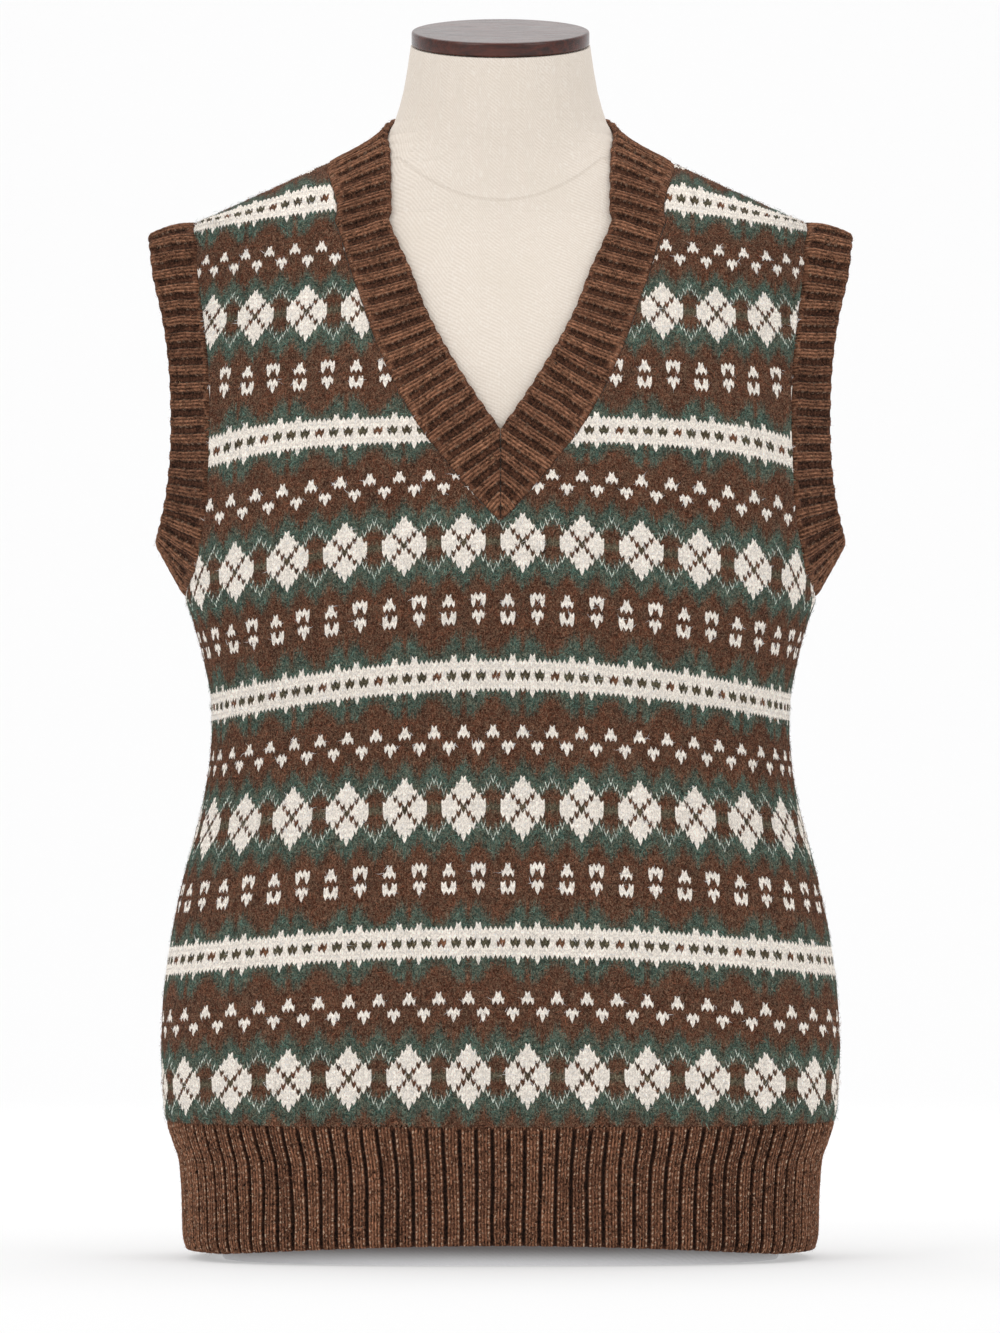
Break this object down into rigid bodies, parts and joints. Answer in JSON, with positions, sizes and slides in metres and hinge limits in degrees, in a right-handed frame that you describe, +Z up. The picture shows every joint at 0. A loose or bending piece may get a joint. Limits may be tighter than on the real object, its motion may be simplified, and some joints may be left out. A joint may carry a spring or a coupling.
{
  "type": "knitted sweater vest on a dress form",
  "caption": "V-neck sweater vest in banded stranded colour knitting, with ribbed hem, neckband and armbands, worn by a limbless linen dress form with a wooden neck cap.",
  "frame": {"origin": "middle of the whole on the floor, on the flat base of the dress form", "axes": "+Z up, the front of the vest faces -Y, +X towards the wearer's left side"},
  "size_m": [0.424, 0.2486, 0.7457],
  "materials": {
    "patterned_knit": "brushed two-ply wool, stranded colour knitting",
    "brown_ribbing": "heathered brown wool, ribbed",
    "linen": "fine cream linen, stretched",
    "stained_wood": "dark red-brown stain under gloss varnish"
  },
  "bodies": {
    "root": {"front_panel": "patterned_knit", "back_panel": "patterned_knit", "hem_rib_front": "brown_ribbing", "hem_rib_back": "brown_ribbing", "neckband": "brown_ribbing", "armband_left": "brown_ribbing", "armband_right": "brown_ribbing", "dress_form": "linen", "neck_cap": "stained_wood"}
  },
  "joints": []
}
